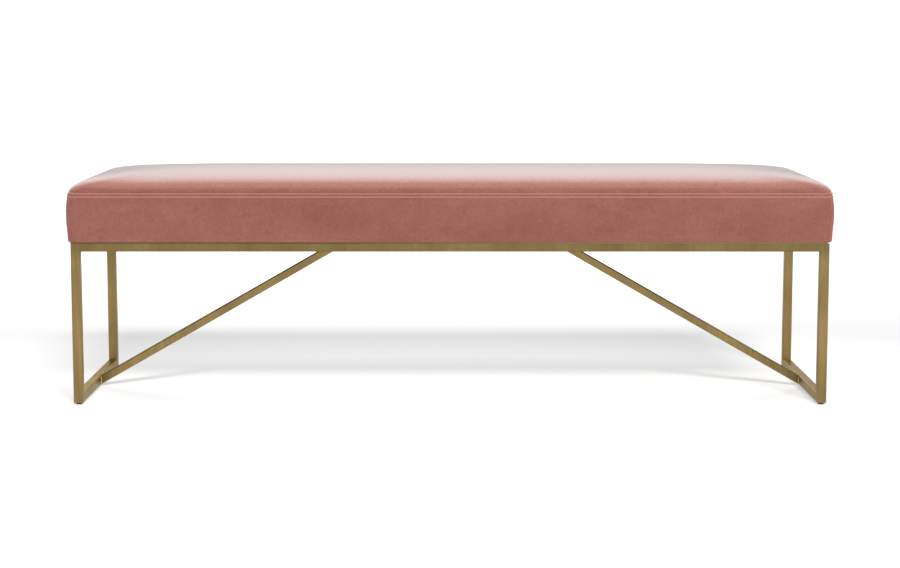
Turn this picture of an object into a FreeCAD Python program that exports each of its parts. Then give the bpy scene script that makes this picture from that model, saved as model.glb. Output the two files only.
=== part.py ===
"""Long upholstered bench: a box cushion on a welded square-tube frame with two braces.

Millimetres, +Z up. The origin is on the floor, under the middle of the bench.
X runs along the bench (left is -X), and -Y is the front.
"""
import FreeCAD, Part
import math
import os

import Sketcher

Vector = FreeCAD.Vector
Rotation = FreeCAD.Rotation

doc = FreeCAD.newDocument("Bench")

# Driving sizes
SIZES = {
    "frame_length": 1524,
    "frame_depth": 454,
    "frame_top": 330.5,
    "ground_gap": 3.5,
    "tube": 19,
    "tube_wall": 1.5,
    "tube_corner": 2,
    "cross_rail_offset": 196.5,
    "brace_tube": 16,
    "tab_width": 24,
    "tab_length": 28,
    "tab_chamfer": 7,
    "tab_thickness": 3,
    "tab_hole_reach": 16,
    "tab_offset": 500,
    "screw_diameter": 4.2,
    "screw_length": 14,
    "screw_head": 8,
    "screw_head_height": 2.6,
    "deck_thickness": 15,
    "cloth": 1,
    "fit_gap": 0.3,
    "turn_past_rail": 2,
    "foam_height": 100,
    "foam_inset": 12,
    "foam_round": 20,
    "base_overhang": 4,
    "belly_overhang": 10,
    "seam_overhang": 6.5,
    "belly_level": 58,
    "band_height": 99.5,
    "crown_height": 45,
    "crown_flat": 68,
    "cover_corner": 20,
    "glide_diameter": 12,
    "glide_socket_floor": 0.8,
    "glide_gap": 0.2,
    "stud_diameter": 6,
    "stud_length": 18,
    "thread_clearance": 0.1,
    "nut_width": 10,
    "nut_height": 5,
}

# The crown is a superellipse with this power upwards and 2 inwards
CROWN_POWER = 2.8
# Steps across the crown crowd towards its edge by this power
CROWN_SPREAD = 2.4
# How far a slanting cut runs past the tube on each side, as a share of the tube
OVERRUN = 0.5

sheet = doc.addObject("Spreadsheet::Sheet", "Sizes")
for row, (alias, number) in enumerate(SIZES.items(), start=1):
    sheet.set(f"A{row}", alias)
    sheet.set(f"B{row}", str(number))
    sheet.setAlias(f"B{row}", alias)
doc.recompute()


class Size:
    """A number together with the formula that ties it to the sheet."""

    def __init__(self, number, formula=None):
        self.number = float(number)
        self.formula = formula or f"({number})"

    def join(self, other, sign, number):
        return Size(number, f"({self.formula} {sign} {as_size(other).formula})")

    def __add__(self, other):
        return self.join(other, "+", self.number + as_size(other).number)

    def __sub__(self, other):
        return self.join(other, "-", self.number - as_size(other).number)

    def __mul__(self, other):
        return self.join(other, "*", self.number * as_size(other).number)

    def __truediv__(self, other):
        return self.join(other, "/", self.number / as_size(other).number)

    def __neg__(self):
        return self * -1


def as_size(value):
    return value if isinstance(value, Size) else Size(value)


def named(alias):
    return Size(float(sheet.get(alias)), f"Sizes.{alias}")


def hypotenuse(first, second):
    total = first * first + second * second
    return Size(math.sqrt(total.number), f"sqrt({total.formula})")


frame_length = named("frame_length")
frame_depth = named("frame_depth")
frame_top = named("frame_top")
ground_gap = named("ground_gap")
tube = named("tube")
tube_wall = named("tube_wall")
tube_corner = named("tube_corner")
cross_rail_offset = named("cross_rail_offset")
brace_tube = named("brace_tube")
tab_width = named("tab_width")
tab_length = named("tab_length")
tab_chamfer = named("tab_chamfer")
tab_thickness = named("tab_thickness")
tab_hole_reach = named("tab_hole_reach")
tab_offset = named("tab_offset")
screw_diameter = named("screw_diameter")
screw_length = named("screw_length")
screw_head = named("screw_head")
screw_head_height = named("screw_head_height")
deck_thickness = named("deck_thickness")
cloth = named("cloth")
fit_gap = named("fit_gap")
turn_past_rail = named("turn_past_rail")
foam_height = named("foam_height")
foam_inset = named("foam_inset")
foam_round = named("foam_round")
base_overhang = named("base_overhang")
belly_overhang = named("belly_overhang")
seam_overhang = named("seam_overhang")
belly_level = named("belly_level")
band_height = named("band_height")
crown_height = named("crown_height")
crown_flat = named("crown_flat")
cover_corner = named("cover_corner")
glide_diameter = named("glide_diameter")
glide_socket_floor = named("glide_socket_floor")
glide_gap = named("glide_gap")
stud_diameter = named("stud_diameter")
stud_length = named("stud_length")
thread_clearance = named("thread_clearance")
nut_width = named("nut_width")
nut_height = named("nut_height")

# Places that several pieces share
half_length = frame_length / 2
half_depth = frame_depth / 2
rail_middle = frame_top - tube / 2
bar_middle = ground_gap + tube / 2
deck_bottom = frame_top + cloth
deck_top = deck_bottom + deck_thickness
seam_level = frame_top + band_height
turned_edge = -(tube + turn_past_rail)
screw_hole = screw_diameter + fit_gap * 2

ALONG_X = Rotation(Vector(0, 1, 0), 90)
ALONG_Y = Rotation(Vector(1, 0, 0), -90)
UPRIGHT = Rotation()

nodes = []


# Helpers for the document

def bind(item, prop, size):
    item.setExpression(prop, as_size(size).formula)


def place(item, x, y, z, rotation=UPRIGHT):
    item.Placement = FreeCAD.Placement(Vector(), rotation)
    for axis, size in (("x", x), ("y", y), ("z", z)):
        bind(item, f"Placement.Base.{axis}", size)


def node(item, name):
    item.Label = name
    nodes.append(item)
    return item


def new_body(name):
    return doc.addObject("PartDesign::Body", name)


def sketch_on(body, role, name, level=0):
    plane = next(f for f in body.Origin.OriginFeatures if f.Role == role)
    sketch = body.newObject("Sketcher::SketchObject", name)
    sketch.AttachmentSupport = [(plane, "")]
    sketch.MapMode = "FlatFace"
    bind(sketch, "AttachmentOffset.Base.z", level)
    return sketch


def constrain(sketch, kind, *where, size=None):
    if size is None:
        return sketch.addConstraint(Sketcher.Constraint(kind, *where))
    index = sketch.addConstraint(Sketcher.Constraint(kind, *where, size.number))
    bind(sketch, f"Constraints[{index}]", size)
    return index


def rounded_rectangle(sketch, width, height, corner):
    """A rectangle with round corners, centred on the sketch's origin."""
    x = width.number / 2 - corner.number
    y = height.number / 2 - corner.number
    r = corner.number
    centres = (Vector(x, -y), Vector(x, y), Vector(-x, y), Vector(-x, -y))
    first = sketch.GeometryCount
    for turn, centre in enumerate(centres):
        start = (turn - 1) * math.pi / 2
        circle = Part.Circle(centre, Vector(0, 0, 1), r)
        sketch.addGeometry(Part.ArcOfCircle(circle, start, start + math.pi / 2))
    for turn, centre in enumerate(centres):
        following = centres[(turn + 1) % 4]
        outward = Vector(r * math.cos(turn * math.pi / 2), r * math.sin(turn * math.pi / 2))
        sketch.addGeometry(Part.LineSegment(centre + outward, following + outward))
    for turn in range(4):
        arc = first + turn
        line = first + 4 + turn
        constrain(sketch, "Tangent", arc, 2, line, 1)
        constrain(sketch, "Tangent", line, 2, first + (turn + 1) % 4, 1)
        constrain(sketch, "Horizontal" if turn % 2 else "Vertical", line)
    for turn in range(1, 4):
        constrain(sketch, "Equal", first, first + turn)
    constrain(sketch, "Symmetric", first, 3, first + 2, 3, -1, 1)
    constrain(sketch, "Radius", first, size=corner)
    constrain(sketch, "DistanceX", first + 3, 3, first, 3, size=width - corner * 2)
    constrain(sketch, "DistanceY", first, 3, first + 1, 3, size=height - corner * 2)


def square(sketch, side):
    """A square with sharp corners, centred on the sketch's origin."""
    half = side / 2
    polygon(sketch, ((-half, -half), (half, -half), (half, half), (-half, half)))


def circle_at(sketch, diameter, x=0, y=0):
    x = as_size(x)
    y = as_size(y)
    centre = Vector(x.number, y.number)
    index = sketch.addGeometry(Part.Circle(centre, Vector(0, 0, 1), diameter.number / 2))
    constrain(sketch, "Diameter", index, size=diameter)
    constrain(sketch, "DistanceX", -1, 1, index, 3, size=x)
    constrain(sketch, "DistanceY", -1, 1, index, 3, size=y)


def polygon(sketch, points):
    """A closed outline whose corners are each tied to the sheet."""
    ends = [Vector(x.number, y.number) for x, y in points]
    count = len(points)
    first = sketch.GeometryCount
    for index in range(count):
        sketch.addGeometry(Part.LineSegment(ends[index], ends[(index + 1) % count]))
    for index, (x, y) in enumerate(points):
        line = first + index
        constrain(sketch, "Coincident", line, 2, first + (index + 1) % count, 1)
        constrain(sketch, "DistanceX", -1, 1, line, 1, size=x)
        constrain(sketch, "DistanceY", -1, 1, line, 1, size=y)


def pad(body, sketch, length):
    feature = body.newObject("PartDesign::Pad", f"{sketch.Name}Pad")
    feature.Profile = sketch
    bind(feature, "Length", length)
    sketch.Visibility = False
    return feature


def pocket_through(body, sketch):
    """A cut right through the body, both ways from the sketch."""
    feature = body.newObject("PartDesign::Pocket", f"{sketch.Name}Pocket")
    feature.Profile = sketch
    feature.Type = "ThroughAll"
    feature.Midplane = True
    return feature


def pocket(body, sketch, depth, reverse=False):
    feature = body.newObject("PartDesign::Pocket", f"{sketch.Name}Pocket")
    feature.Profile = sketch
    feature.Reversed = reverse
    bind(feature, "Length", depth)
    return feature


def revolve(body, sketch):
    feature = body.newObject("PartDesign::Revolution", f"{sketch.Name}Revolution")
    feature.Profile = sketch
    feature.ReferenceAxis = (sketch, ["V_Axis"])
    feature.Angle = 360
    return feature


def cut(name, base, tool):
    item = doc.addObject("Part::Cut", name)
    item.Base = base
    item.Tool = tool
    return item


def common(name, base, tool):
    item = doc.addObject("Part::Common", name)
    item.Base = base
    item.Tool = tool
    return item


def box(name, length, width, height):
    item = doc.addObject("Part::Box", name)
    bind(item, "Length", length)
    bind(item, "Width", width)
    bind(item, "Height", height)
    return item


# The frame: square steel tube, mitred at its corners

def square_tube(name, side, length):
    """A hollow tube that stands on its own origin and runs up its own Z."""
    body = new_body(name)
    section = sketch_on(body, "XY_Plane", f"{name}_section")
    rounded_rectangle(section, side, side, tube_corner)
    square(section, side - tube_wall * 2)
    pad(body, section, length)
    return node(body, name)


def slant_cut(body, role, side, level, end, keep, depth):
    """Cuts one end of a tube on the slant.

    end is 1 at the top and -1 at the bottom, keep is the side across the tube
    that stays full length, and depth is what the other side loses.
    """
    where = "top" if end > 0 else "bottom"
    sketch = sketch_on(body, role, f"{body.Name}_{where}_slant")
    far = side * (0.5 + OVERRUN) * keep
    outside = level + depth * end * OVERRUN
    inside = level - depth * end * (1 + OVERRUN)
    polygon(sketch, ((far, outside), (-far, outside), (-far, inside)))
    pocket_through(body, sketch)


def long_rails():
    for name, side in (("front_rail", -1), ("rear_rail", 1)):
        body = square_tube(name, tube, frame_length)
        slant_cut(body, "XZ_Plane", tube, Size(0), -1, -1, tube)
        slant_cut(body, "XZ_Plane", tube, frame_length, 1, -1, tube)
        place(body, -half_length, (half_depth - tube / 2) * side, rail_middle, ALONG_X)


def short_rails():
    length = frame_depth - tube * 2
    end_offset = half_length - tube / 2
    stations = (
        ("left_end_rail", -end_offset),
        ("right_end_rail", end_offset),
        ("left_cross_rail", -cross_rail_offset),
        ("right_cross_rail", cross_rail_offset),
    )
    for name, x in stations:
        body = square_tube(name, tube, length)
        place(body, x, tube - half_depth, rail_middle, ALONG_Y)


def legs():
    length = frame_top - ground_gap
    for depth_name, front in (("front", -1), ("rear", 1)):
        for side_name, left in (("left", -1), ("right", 1)):
            body = square_tube(f"{depth_name}_{side_name}_leg", tube, length)
            slant_cut(body, "XZ_Plane", tube, length, 1, left, tube)
            slant_cut(body, "YZ_Plane", tube, Size(0), -1, front, tube)
            place(body, (half_length - tube / 2) * left, (half_depth - tube / 2) * front, ground_gap)


def floor_bars():
    for name, left in (("left_floor_bar", -1), ("right_floor_bar", 1)):
        body = square_tube(name, tube, frame_depth)
        slant_cut(body, "YZ_Plane", tube, Size(0), -1, 1, tube)
        slant_cut(body, "YZ_Plane", tube, frame_depth, 1, 1, tube)
        holes = sketch_on(body, "XZ_Plane", f"{name}_glide_holes")
        for level in (tube / 2, frame_depth - tube / 2):
            circle_at(holes, stud_diameter + fit_gap * 2, y=level)
        pocket(body, holes, tube)
        place(body, (half_length - tube / 2) * left, -half_depth, bar_middle, ALONG_Y)


def braces():
    """Each brace runs from the middle of a floor bar up to a cross rail, cut plumb at both ends."""
    run = half_length - tube * 1.5 - cross_rail_offset
    rise = rail_middle - bar_middle
    slope_length = hypotenuse(run, rise)
    sine = rise / slope_length
    lost = brace_tube * rise / run
    length = slope_length + lost
    steepness = math.degrees(math.atan2(rise.number, run.number))
    lean = Rotation(Vector(0, 1, 0), 90 - steepness)
    start = half_length - tube + brace_tube / 2 * sine
    height = bar_middle - lost / 2 * sine
    for name, left in (("left_brace", -1), ("right_brace", 1)):
        body = square_tube(name, brace_tube, length)
        slant_cut(body, "XZ_Plane", brace_tube, Size(0), -1, 1, lost)
        slant_cut(body, "XZ_Plane", brace_tube, length, 1, -1, lost)
        facing = UPRIGHT if left < 0 else Rotation(Vector(0, 0, 1), 180)
        place(body, start * left, 0, height, facing * lean)


# What holds the seat down: welded tabs and the screws that go up through them

def tab_stations():
    """Each tab's name, where it meets its rail, and which side of the bench it is on."""
    face = half_depth - tube
    stations = []
    for depth_name, side in (("front", -1), ("rear", 1)):
        for side_name, left in (("left", -1), ("right", 1)):
            stations.append((f"{depth_name}_{side_name}", tab_offset * left, face * side, side))
    return stations


def screw_places():
    return [(x, face - tab_hole_reach * side) for _, x, face, side in tab_stations()]


def mounting_tab(name):
    """A plate whose free corners are cut off, with a hole for its screw."""
    body = new_body(name)
    outline = sketch_on(body, "XY_Plane", f"{name}_outline")
    half = tab_width / 2
    corners = [
        (half, Size(0)),
        (half, tab_length - tab_chamfer),
        (half - tab_chamfer, tab_length),
    ]
    polygon(outline, corners + [(-x, y) for x, y in reversed(corners)])
    circle_at(outline, screw_hole, y=tab_hole_reach)
    pad(body, outline, tab_thickness)
    return node(body, name)


def seat_screw(name):
    """A hexagon head and its shank."""
    body = new_body(name)
    head = sketch_on(body, "XY_Plane", f"{name}_head")
    flat = screw_head / 2
    tip = screw_head / math.sqrt(3)
    right = [(tip / 2, -flat), (tip, Size(0)), (tip / 2, flat)]
    polygon(head, right + [(-x, -y) for x, y in right])
    pad(body, head, screw_head_height)
    profile = sketch_on(body, "XZ_Plane", f"{name}_profile")
    radius = screw_diameter / 2
    top = screw_head_height + screw_length
    zero = Size(0)
    polygon(profile, ((zero, zero), (radius, zero), (radius, top), (zero, top)))
    revolve(body, profile)
    return body


def tabs_and_screws():
    screws = []
    for corner, x, face, side in tab_stations():
        tab = mounting_tab(f"{corner}_tab")
        turn = Rotation(Vector(0, 0, 1), 90 + 90 * side)
        place(tab, x, face, frame_top - tab_thickness, turn)
        screw = seat_screw(f"{corner}_screw")
        level = frame_top - tab_thickness - screw_head_height
        place(screw, x, face - tab_hole_reach * side, level)
        screws.append(screw)
    group = doc.addObject("Part::Compound", "seat_screws")
    group.Links = screws
    node(group, "seat_screws")


# The levelling glides and the square nuts that take them

def glide_pad(name):
    """A plastic foot with a socket for its stud."""
    body = new_body(name)
    profile = sketch_on(body, "XZ_Plane", f"{name}_profile")
    rim = glide_diameter / 2
    socket = stud_diameter / 2 + thread_clearance
    top = ground_gap - glide_gap
    zero = Size(0)
    outline = (
        (zero, zero),
        (rim, zero),
        (rim, top),
        (socket, top),
        (socket, glide_socket_floor),
        (zero, glide_socket_floor),
    )
    polygon(profile, outline)
    revolve(body, profile)
    return node(body, name)


def glide_stud(name):
    """A steel stud."""
    body = new_body(name)
    profile = sketch_on(body, "XZ_Plane", f"{name}_profile")
    radius = stud_diameter / 2
    length = stud_length + ground_gap - glide_gap - glide_socket_floor
    zero = Size(0)
    polygon(profile, ((zero, zero), (radius, zero), (radius, length), (zero, length)))
    revolve(body, profile)
    return node(body, name)


def glide_nut(name):
    """A square nut, welded inside the floor bar."""
    body = new_body(name)
    section = sketch_on(body, "XY_Plane", f"{name}_section")
    square(section, nut_width)
    circle_at(section, stud_diameter + thread_clearance * 2)
    pad(body, section, nut_height)
    return node(body, name)


def glides():
    for depth_name, front in (("front", -1), ("rear", 1)):
        for side_name, left in (("left", -1), ("right", 1)):
            corner = f"{depth_name}_{side_name}"
            x = (half_length - tube / 2) * left
            y = (half_depth - tube / 2) * front
            place(glide_pad(f"{corner}_glide_pad"), x, y, 0)
            place(glide_stud(f"{corner}_glide_stud"), x, y, glide_socket_floor)
            place(glide_nut(f"{corner}_nut"), x, y, ground_gap + tube_wall)


# The seat: a deck, foam, batting and a cover of five sewn panels, all of one crowned form

def seat_form(name, inset, band_steps=2, crown_steps=6):
    """The cushion's form, drawn in by inset all round and above."""
    body = new_body(name)
    corner = cover_corner - inset
    crown_run = half_depth + seam_overhang - inset - crown_flat / 2
    last_corner = crown_flat / 2 - tube_corner
    sections = []

    def section(overhang, level, radius):
        sketch = sketch_on(body, "XY_Plane", f"{name}_section_{len(sections)}", level)
        grow = (overhang - inset) * 2
        rounded_rectangle(sketch, frame_length + grow, frame_depth + grow, radius)
        sections.append(sketch)

    for step in range(band_steps + 1):
        share = step / band_steps
        bulge = (belly_overhang - base_overhang) * (1 - (1 - share) ** 2)
        level = frame_top + inset + (belly_level - inset) * share
        section(base_overhang + bulge, level, corner)
    for step in reversed(range(1, band_steps)):
        share = step / band_steps
        bulge = (belly_overhang - seam_overhang) * (1 - (1 - share) ** 2)
        section(seam_overhang + bulge, seam_level - (band_height - belly_level) * share, corner)
    for step in range(crown_steps + 1):
        share = step / crown_steps
        reach = share ** CROWN_SPREAD
        lift = (1 - (1 - reach) ** 2) ** (1 / CROWN_POWER)
        level = seam_level + (crown_height - inset) * lift
        section(seam_overhang - crown_run * reach, level, corner + (last_corner - corner) * share)
    loft = body.newObject("PartDesign::AdditiveLoft", f"{name}_loft")
    loft.Profile = sections[0]
    loft.Sections = sections[1:]
    loft.Ruled = True
    return body


def above(name, level):
    """A block that holds everything of the seat over a level."""
    margin = belly_overhang * 2
    height = band_height + crown_height * 2
    block = box(name, frame_length + margin * 2, frame_depth + margin * 2, height)
    place(block, -(half_length + margin), -(half_depth + margin), level)
    return block


def cover_quarter(name, half_width, across, turn):
    """A block round one band, whose ends run at 45 degrees through the cushion's corners."""
    margin = belly_overhang * 2
    depth = (base_overhang - turned_edge) * 2
    wedge = doc.addObject("Part::Wedge", name)
    for prop in ("Zmin", "Z2min", "Ymin"):
        setattr(wedge, prop, 0)
    bind(wedge, "Ymax", margin + depth)
    for prop, size in (("Xmin", -(half_width + margin)), ("Xmax", half_width + margin)):
        bind(wedge, prop, size)
    for prop, size in (("X2min", -(half_width - depth)), ("X2max", half_width - depth)):
        bind(wedge, prop, size)
    for prop in ("Zmax", "Z2max"):
        bind(wedge, prop, band_height)
    distance = across + margin
    facing = Rotation(Vector(0, 0, 1), turn)
    away = facing.multVec(Vector(0, -1, 0))
    place(wedge, distance * round(away.x), distance * round(away.y), frame_top, facing)
    return wedge


def cover():
    outer = seat_form("cover_outside", Size(0))
    inner = seat_form("cover_inside", cloth)
    shell = cut("cover_shell", outer, inner)
    length = frame_length + turned_edge * 2
    depth = frame_depth + turned_edge * 2
    opening = box("cover_opening", length, depth, cloth * 2)
    place(opening, -length / 2, -depth / 2, frame_top - cloth / 2)
    open_shell = cut("cover_open_shell", shell, opening)
    node(common("top_panel", open_shell, above("over_seam", seam_level)), "top_panel")
    bands = (
        ("front_band", half_length, half_depth, 0),
        ("rear_band", half_length, half_depth, 180),
        ("left_band", half_depth, half_length, -90),
        ("right_band", half_depth, half_length, 90),
    )
    for name, half_width, across, turn in bands:
        quarter = cover_quarter(f"{name}_quarter", half_width, across, turn)
        node(common(name, open_shell, quarter), name)


def foam_block(name, grow):
    """A slab with rounded upper edges that stands on the deck, larger all round by grow."""
    body = new_body(name)
    outline = sketch_on(body, "XY_Plane", f"{name}_outline")
    edge = (grow - foam_inset) * 2
    corner = cover_corner + grow
    rounded_rectangle(outline, frame_length + edge, frame_depth + edge, corner)
    slab = pad(body, outline, foam_height + grow)
    doc.recompute()
    top = max(range(len(slab.Shape.Faces)), key=lambda i: slab.Shape.Faces[i].CenterOfMass.z)
    rounding = body.newObject("PartDesign::Fillet", f"{name}_round")
    rounding.Base = (slab, [f"Face{top + 1}"])
    bind(rounding, "Radius", foam_round)
    body.Tip = rounding
    place(body, 0, 0, deck_top)
    return body


def padding():
    """The foam slab stands on the deck, and the batting fills out the crown between it and the cover."""
    foam = foam_block("foam_core", Size(0))
    node(foam, "foam_core")
    form = seat_form("batting_form", cloth + fit_gap)
    hollow = cut("batting_hollow", form, foam_block("foam_room", fit_gap))
    node(common("batting", hollow, above("over_deck", deck_top)), "batting")


def deck():
    """Plywood, with a blind pilot hole over each screw."""
    body = new_body("deck")
    outline = sketch_on(body, "XY_Plane", "deck_outline")
    edge = (base_overhang - cloth - fit_gap) * 2
    rounded_rectangle(outline, frame_length + edge, frame_depth + edge, cover_corner - cloth)
    pad(body, outline, deck_thickness)
    pilots = sketch_on(body, "XY_Plane", "deck_pilots")
    for x, y in screw_places():
        circle_at(pilots, screw_diameter + fit_gap, x, y)
    pocket(body, pilots, screw_length - tab_thickness, reverse=True)
    place(node(body, "deck"), 0, 0, deck_bottom)


def dust_cover():
    """Thin cloth under the deck, which the screws pierce."""
    body = new_body("dust_cover")
    outline = sketch_on(body, "XY_Plane", "dust_cover_outline")
    edge = (turned_edge - fit_gap) * 2
    rounded_rectangle(outline, frame_length + edge, frame_depth + edge, tube_corner)
    for x, y in screw_places():
        circle_at(outline, screw_hole, x, y)
    pad(body, outline, cloth)
    place(node(body, "dust_cover"), 0, 0, frame_top)


long_rails()
short_rails()
legs()
floor_bars()
braces()
tabs_and_screws()
glides()
deck()
padding()
cover()
dust_cover()
doc.recompute()


# Nothing is written unless every object is sound

def check_document():
    for item in doc.Objects:
        if "Invalid" in item.State or "Error" in item.State:
            raise RuntimeError(f"{item.Name} failed: {item.State}")
    for item in nodes:
        if item.Shape.isNull() or not item.Shape.isValid():
            raise RuntimeError(f"{item.Label} has no sound shape")


check_document()
os.makedirs("parts", exist_ok=True)
for item in nodes:
    item.Shape.exportStep(f"parts/{item.Label}.step")
    print(f"{item.Label}: {len(item.Shape.Solids)} solids, {item.Shape.Volume:.0f} mm3")
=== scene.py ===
"""Looks of the upholstered bench: velvet cushion, brushed brass frame, hardware, light and camera."""

import math
import random

import bpy
import numpy as np
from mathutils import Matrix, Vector
from mathutils.bvhtree import BVHTree

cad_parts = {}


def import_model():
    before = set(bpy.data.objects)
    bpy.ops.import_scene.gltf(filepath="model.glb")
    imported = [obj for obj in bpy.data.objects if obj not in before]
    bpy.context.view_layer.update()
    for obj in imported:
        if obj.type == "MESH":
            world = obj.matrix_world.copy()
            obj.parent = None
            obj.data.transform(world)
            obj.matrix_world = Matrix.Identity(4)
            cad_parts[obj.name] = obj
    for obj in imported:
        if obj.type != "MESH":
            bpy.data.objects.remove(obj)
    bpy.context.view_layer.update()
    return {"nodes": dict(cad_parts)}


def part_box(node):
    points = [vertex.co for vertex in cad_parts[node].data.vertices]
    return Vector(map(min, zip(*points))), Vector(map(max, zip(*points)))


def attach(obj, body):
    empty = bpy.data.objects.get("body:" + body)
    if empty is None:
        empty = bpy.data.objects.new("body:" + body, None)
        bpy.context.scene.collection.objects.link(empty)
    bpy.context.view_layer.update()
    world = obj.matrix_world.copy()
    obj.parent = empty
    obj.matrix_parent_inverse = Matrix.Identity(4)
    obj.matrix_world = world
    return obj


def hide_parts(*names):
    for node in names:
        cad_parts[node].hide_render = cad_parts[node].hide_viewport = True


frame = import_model()
nodes = frame["nodes"]
scene = bpy.context.scene
dice = random.Random(7)

MM = 0.001
CORNERS = ("front_left", "front_right", "rear_left", "rear_right")


def middle_x(name):
    """The middle of a node, along the bench."""
    low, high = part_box(name)
    return (low.x + high.x) / 2


# Sizes read from the frame
rail_low, rail_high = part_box("front_rail")
HALF_LENGTH = rail_high.x
HALF_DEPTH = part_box("rear_rail")[1].y
FRAME_TOP = rail_high.z
TUBE = rail_high.z - rail_low.z
SEAM_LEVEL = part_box("front_band")[1].z
SETTLED = 2 * MM
CROWN_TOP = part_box("top_panel")[1].z - SETTLED
DECK_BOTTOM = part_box("deck")[0].z
DECK_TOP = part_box("deck")[1].z
CROSS_RAIL = middle_x("right_cross_rail")
TAB_PLACE = middle_x("front_right_tab")
SCREW_RADIUS = 4 * MM
SCREW_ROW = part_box("seat_screws")[1].y - SCREW_RADIUS

# The cushion's form, as far as it stands proud of the frame's outline
BASE_OVERHANG = 6.2 * MM
BELLY_OVERHANG = 9.4 * MM
SEAM_OVERHANG = 5.2 * MM
BELLY_SHARE = 0.58
CROWN_RUN = 222 * MM
CROWN_POWER = 2.2
COVER_CORNER = 20 * MM
CROWN_CORNER = 60 * MM
LARGEST_CORNER = 0.9
CROWN_SPREAD = 1.6
CROWN_CLOSED = 0.93
CAP_RISE = 15 * MM
# Near the cushion's ends: how far in from the frame's end, over what width, and how high or low
END_SHOULDER = (18 * MM, 36 * MM, 2.2 * MM)
END_EASED = (150 * MM, 80 * MM, -1.9 * MM)
CLOTH = 1 * MM
LAP_GAP = 0.2 * MM
TURN_PAST_RAIL = 2 * MM
BASE_LEVEL = FRAME_TOP + 0.1 * MM
BASE_FOLD = 1 * MM

# The cushion's mesh: points round its plan, and rows from its base to its crown
CORNER_STEPS = 24
LONG_STEPS = 180
SHORT_STEPS = 60
CORNER_CROWDING = 0.8
TURNED_STEPS = 4
FOLD_STEPS = 6
BELLY_STEPS = 12
BELLY_CROWDING = 1.5
SIDE_ROWS = 8
SEAM_ZONE = 14 * MM
SEAM_ROWS = 22
CROWN_STEPS = 36
CROWN_COLUMNS = 8

# What the cloth simulation starts from, and how far it may carry a point
START_BELLY = 9.5 * MM
START_CROWN = 40.5 * MM
START_POWER = 2.2
VOXEL = 6 * MM
CLOTH_FRAMES = 14
CLOTH_SETTINGS = {
    "quality": 4,
    "mass": 0.3,
    "tension_stiffness": 20,
    "compression_stiffness": 20,
    "shear_stiffness": 10,
    "bending_stiffness": 0.5,
    "use_pressure": True,
    "uniform_pressure_force": 4,
}
SWELL_REACH = 25 * MM
SWELL_CAP = 1.2 * MM
FOAM_GIVE = 0.7 * MM
HELD_BASE = 10 * MM
EVENING_PASSES = 80

# Ridges and grooves of the seam: level from the seam, height and half width
SEAM_RIDGES = (
    (-8.2 * MM, 1.2 * MM, 1.3 * MM),
    (-5.0 * MM, -0.5 * MM, 1.0 * MM),
    (-2.2 * MM, 1.2 * MM, 1.2 * MM),
    (1.6 * MM, -0.6 * MM, 1.4 * MM),
)
RIDGE_FULL = 1.3 * MM
CORNER_SEAM_WIDTH = 1.1 * MM
CORNER_SEAM_DEPTH = 0.7 * MM
# The steps up from the turned edge that take a painted highlight, on the left and on the right, and how
# much
HIGHLIGHT_LEFT = (range(3, 5), 0.7)
HIGHLIGHT_RIGHT = (range(5), 1)
STITCH_ROWS = (-5.0 * MM, 1.6 * MM)
STITCH_PITCH = 4 * MM
STITCH_LENGTH = 3.2 * MM
STITCH_SIDES = 6
STITCH_FULL = 0.55
STITCH_SUNK = 0.15
THREAD = 0.6 * MM

# The dust cover
LINING_COLUMNS = 260
LINING_ROWS = 74
LINING_TOP = 0.75 * MM
LINING_LOW = 0.15 * MM
LINING_EASE = 20 * MM
HEM = 12 * MM
HEM_EDGE = 0.8 * MM
HEM_DROP = 0.3 * MM
SLACK_DROP = 0.25 * MM
RIPPLE = 0.2 * MM
RIPPLE_REACH = 45 * MM

# Its staples, with the inset and height of each point of their rounded shoulders
STAPLE_PITCH = 52 * MM
STAPLE_CROWN = 10 * MM
STAPLE_WIDTH = 1.1 * MM
STAPLE_GAUGE = 0.55 * MM
STAPLE_SHOULDER = ((0, 0.5 * MM), (0.2 * MM, -0.15 * MM), (0.7 * MM, -0.45 * MM))
STAPLE_SKEW = 0.12
STAPLE_SHIFT = 1 * MM
STAPLE_OFF_TAB = 22 * MM

# Weld beads: their section, the ripples along them, and how far they stop short of an edge
WELD = 2.2 * MM
WELD_BED = 0.3 * MM
WELD_FULL = 0.72
WELD_SLIM = 0.42
WELD_STEP = 0.6 * MM
WELD_WAVE = 1.9
WELD_RIPPLE = 0.13
WELD_CHANCE = 0.05
WELD_END = 0.35
WELD_TAPER = 6
TAB_END = 2 * MM
RAIL_BOTTOM = 2 * MM
RAIL_TOP = 3 * MM
BAR_BOTTOM = 1 * MM
BAR_TOP = 1.5 * MM

# Seat screws: outlines as radius and level from the tab's underside, then the thread
WASHER_OUTLINE = (
    (1.5 * MM, -0.8 * MM),
    (4.3 * MM, -0.8 * MM),
    (4.7 * MM, -0.4 * MM),
    (4.6 * MM, 0),
    (1.5 * MM, 0),
)
HEAD_OUTLINE = (
    (0.5 * MM, -2.6 * MM),
    (2.9 * MM, -2.6 * MM),
    (3.7 * MM, -2.2 * MM),
    (3.7 * MM, -0.7 * MM),
    (0.5 * MM, -0.7 * MM),
)
SHANK_NECK = (1.9 * MM, -0.1 * MM)
SHANK_END = 1.2 * MM
SHANK_POINT = 0.1 * MM
SCREW_THREAD = (1 * MM, 12 * MM)
SCREW_CORE = 1.5 * MM
SCREW_CREST = 2.1 * MM
SCREW_FLANK = 0.5 * MM
SCREW_PITCH = 1.4 * MM
WASHER_SIDES = 32
HEAD_SIDES = 6
SHANK_SIDES = 16

# The feet's studs
STUD_RADIUS = 3 * MM
STUD_PLAIN = 4 * MM
STUD_TIP = 0.5 * MM
STUD_SIDES = 24
THREAD_PITCH = 1 * MM
THREAD_DEPTH = 0.55 * MM
THREAD_ROWS = 6

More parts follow.
